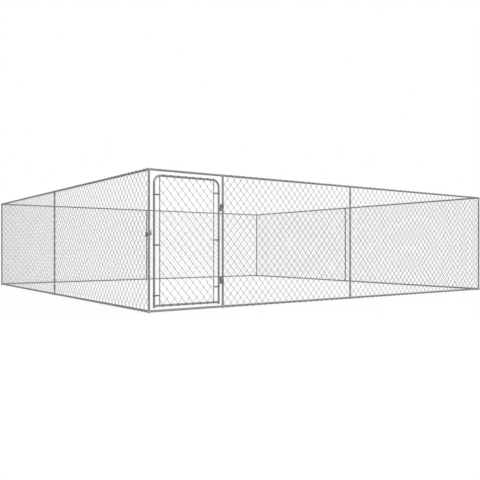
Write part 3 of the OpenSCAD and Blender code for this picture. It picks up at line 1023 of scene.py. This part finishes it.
@dataclass
class Door:
    """The hinged door: bent tube, bottom rail, tension bars and bands, and its net."""

    diamond_w: float = 123 * MM
    diamond_h: float = 140 * MM
    bar_room: float = 4.2 * MM
    beyond_rail: float = 8 * MM
    lift: float = 25 * MM
    bend_room: float = 14 * MM
    # How much lighter the net's runs behind are painted: a painted highlight
    painted_highlight_behind: float = 0.42
    bead_r: float = 2.2 * MM
    bead_tuck: float = 0.9
    bead_points: int = 61
    bead_ripples: int = 14
    bead_ripple: float = 0.1
    bead_taper: float = 0.4
    bead_from_deg: float = 20.0
    bead_turn_deg: float = 140.0
    bead_sides: int = 8

    def net(self) -> WovenNet:
        """The door's net, whose side turns go round the tension bars.

        Returns:
            The net, not yet built.
        """
        frame_high = box("door_frame")[1]
        rail_low, rail_high = box("door_bottom_rail")
        rail_r = (rail_high[2] - rail_low[2]) / 2
        left = box("tension_bar_latch")[0][0] - self.bar_room
        right = box("tension_bar_hinge")[1][0] + self.bar_room
        low_z, top_z = (rail_low[2] + rail_high[2]) / 2, frame_high[2] - rail_r
        wires = round(2 * (right - left) / self.diamond_w)
        rows = 2 * round((top_z - low_z) / self.diamond_h)
        plane = np.array([0.0, (rail_low[1] + rail_high[1]) / 2, 0.0])
        return WovenNet(
            piece="woven_net_door", node="door_net", body=Body.DOOR, wall=Wall.FRONT,
            left=left, right=right, plane=plane, low_z=low_z, top_z=top_z,
            rail_r=rail_r, wires=wires, rows=rows, beyond=self.beyond_rail, lift=self.lift,
            end_room=self.bend_room, painted_highlight_behind=self.painted_highlight_behind,
        )

    def beads(self) -> list[Skin]:
        """Weld beads: two arcs where the bottom rail meets a stile, two lines beside a hinge eye.

        A bead's radius is bead_r times a ripple, and thins to a third at both ends. Round the rail,
        at angle a, the seam of two equal tubes is r sin a from the stile's axis, r cos a across and
        r sin a above or below the rail's axis. Beside an eye the seam is its saddle's upright edge.

        Returns:
            The beads' skins.
        """
        rail_low, rail_high = box("door_bottom_rail")
        stiles_low, stiles_high = box("door_frame")
        _, across, level = (rail_low + rail_high) / 2
        r = (rail_high[2] - rail_low[2]) / 2
        way = np.linspace(0, 1, self.bead_points)
        ripple = 1 + self.bead_ripple * np.cos(2 * np.pi * self.bead_ripples * way)
        radius = self.bead_r * ripple * (1 + 2 * np.sin(np.pi * way) ** self.bead_taper) / 3
        arc = np.radians(self.bead_from_deg + self.bead_turn_deg * way)
        off, side = r * np.sin(arc), across + r * np.cos(arc)
        seams = [(axis + inward * off, side, level + up * off) for up in (1.0, -1.0)
                 for axis, inward in ((stiles_low[0] + r, 1.0), (stiles_high[0] - r, -1.0))]
        for eye in ("hinge_eye_upper", "hinge_eye_lower"):
            low, high = box(eye)
            height = low[2] + (high[2] - low[2]) * way
            for edge in (low[1], high[1]):
                tucked = across + self.bead_tuck * (edge - across)
                seams.append((np.full_like(way, low[0]), np.full_like(way, tucked), height))
        return [sweep(np.stack(seam, axis=-1)[None], radius, self.bead_sides) for seam in seams]

    def build(self) -> None:
        """Weaves the door's net, lays its weld beads and dresses its metal."""
        self.net().build()
        add_piece("door_weld_beads", self.beads(), Body.DOOR, WELD_FINISH, [])
        dress(["door_frame"], TUBE_FINISHES[Axis.Z])
        dress(["door_bottom_rail"], TUBE_FINISHES[Axis.X])
        dress(["tension_bar_latch", "tension_bar_hinge"], BAR_FINISH)
        dress(["tension_bands", "hinge_eye_upper", "hinge_eye_lower"], HARDWARE_FINISH)
        dress(["band_bolts"], FASTENER_FINISH)


@dataclass
class HingesAndLatch:
    """The clamps on the posts, the latch fork and their bolts."""

    hinges: tuple[str, ...] = ("hinge_clamp_upper", "hinge_clamp_lower")
    bolts: tuple[str, ...] = ("hinge_bolts", "latch_bolt", "latch_pivot")

    def build(self) -> None:
        """Dresses the clamps, the fork and the bolts."""
        dress(list(self.hinges), HARDWARE_FINISH)
        dress(["latch_clamp"], CLAMP_FINISH)
        dress(["latch_fork"], FORK_FINISH)
        dress(list(self.bolts), FASTENER_FINISH)


# Stage


@dataclass
class Studio:
    """A pale floor without end, soft light from all round, and the camera of the photograph."""

    eye: Place = (-7.7025, -11.3128, 0.888)
    heading_deg: float = -35.75
    focal_px: float = 590.1
    horizon_px: float = 248.8
    image_px: float = 480.0
    sensor_mm: float = 36.0
    floor_half: float = 120.0
    far_clip: float = 480.0
    floor_tone: float = 0.9
    shade_tone: float = 0.25
    floor_glow: float = 0.765
    sky: float = 0.55
    key: float = 2.0
    key_tilt_deg: float = 58.0
    key_heading_deg: float = -10.0
    fill: float = 0.35
    fill_tilt_deg: float = 55.0
    fill_heading_deg: float = 70.0
    lamp_spread_deg: float = 35.0

    def camera(self) -> None:
        """Stands the camera at the photograph's eye, level, with the horizon shifted into place."""
        data = bpy.data.cameras.new("camera")
        data.sensor_width = self.sensor_mm
        data.lens = self.focal_px / self.image_px * self.sensor_mm
        data.shift_y = (self.horizon_px - self.image_px / 2) / self.image_px
        data.clip_end = self.far_clip
        made = bpy.data.objects.new("camera", data)
        made.location = self.eye
        made.rotation_euler = (math.pi / 2, 0.0, math.radians(self.heading_deg))
        bpy.context.scene.collection.objects.link(made)
        bpy.context.scene.camera = made

    def seen(self, graph: Graph) -> bpy.types.NodeSocket:
        """1 for rays from the camera and for those that metal or glass sends on.

        Args:
            graph: where the nodes go.

        Returns:
            The socket that holds the mask.
        """
        path = graph.node("ShaderNodeLightPath").outputs
        shiny = graph.math("MAXIMUM", path["Is Glossy Ray"], path["Is Transmission Ray"])
        return graph.math("MAXIMUM", path["Is Camera Ray"], shiny)

    def world(self) -> None:
        """A white surround that lights the object at a plain level."""
        made = bpy.data.worlds.new("studio")
        made.use_nodes = True
        graph = Graph(made.node_tree)
        back = made.node_tree.nodes["Background"]
        back.inputs["Color"].default_value = WHITE
        strength = graph.remap(self.seen(graph), 0.0, 1.0, self.sky, 1.0)
        graph.tree.links.new(strength, back.inputs["Strength"])
        bpy.context.scene.world = made

    def floor(self) -> None:
        """A flat pale floor that reads as white and keeps the object's shadow."""
        half = self.floor_half
        corners = [[-half, -half, 0.0], [half, -half, 0.0], [half, half, 0.0], [-half, half, 0.0]]
        made = make_mesh("floor", np.array(corners), np.array([[0, 1, 2, 3]]))
        finish = bpy.data.materials.new("pale_floor")
        finish.use_nodes = True
        finish.node_tree.nodes.clear()
        graph = Graph(finish.node_tree)
        pale = graph.node("ShaderNodeBsdfDiffuse", {"Color": (*[self.floor_tone] * 3, 1.0)})
        shade = graph.node("ShaderNodeBsdfDiffuse", {"Color": (*[self.shade_tone] * 3, 1.0)})
        glow = graph.node("ShaderNodeEmission", {"Color": WHITE, "Strength": self.floor_glow})
        white = graph.node("ShaderNodeAddShader", {0: shade.outputs[0], 1: glow.outputs[0]})
        both = graph.node("ShaderNodeMixShader", {0: self.seen(graph), 1: pale.outputs[0],
                                                  2: white.outputs[0]})
        graph.node("ShaderNodeOutputMaterial", {"Surface": both.outputs[0]})
        made.data.materials.append(finish)

    def lamp(self, name: str, strength: float, tilt_deg: float, heading_deg: float) -> None:
        """Hangs one soft, far lamp.

        Args:
            name: the lamp's name.
            strength: its light on a surface that faces it.
            tilt_deg: its angle from straight above.
            heading_deg: the side it comes from, 0 from the door wall, turning towards +X.
        """
        data = bpy.data.lights.new(name, "SUN")
        data.energy = strength
        data.angle = math.radians(self.lamp_spread_deg)
        made = bpy.data.objects.new(name, data)
        made.rotation_euler = (math.radians(tilt_deg), 0.0, math.radians(heading_deg))
        bpy.context.scene.collection.objects.link(made)

    def build(self) -> None:
        """Sets the stage."""
        bpy.context.scene.view_settings.view_transform = "Standard"
        self.camera()
        self.world()
        self.floor()
        self.lamp("key_lamp", self.key, self.key_tilt_deg, self.key_heading_deg)
        self.lamp("fill_lamp", self.fill, self.fill_tilt_deg, self.fill_heading_deg)


def main() -> None:
    """Builds the run in order."""
    logging.basicConfig(level=logging.INFO, format="%(message)s")
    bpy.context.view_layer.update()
    for part in (Studio(), WallFrame(), CastFittings(), Door(), HingesAndLatch()):
        part.build()
        LOG.info("built %s", type(part).__name__)
    bpy.context.view_layer.update()


if __name__ == "__main__":
    main()
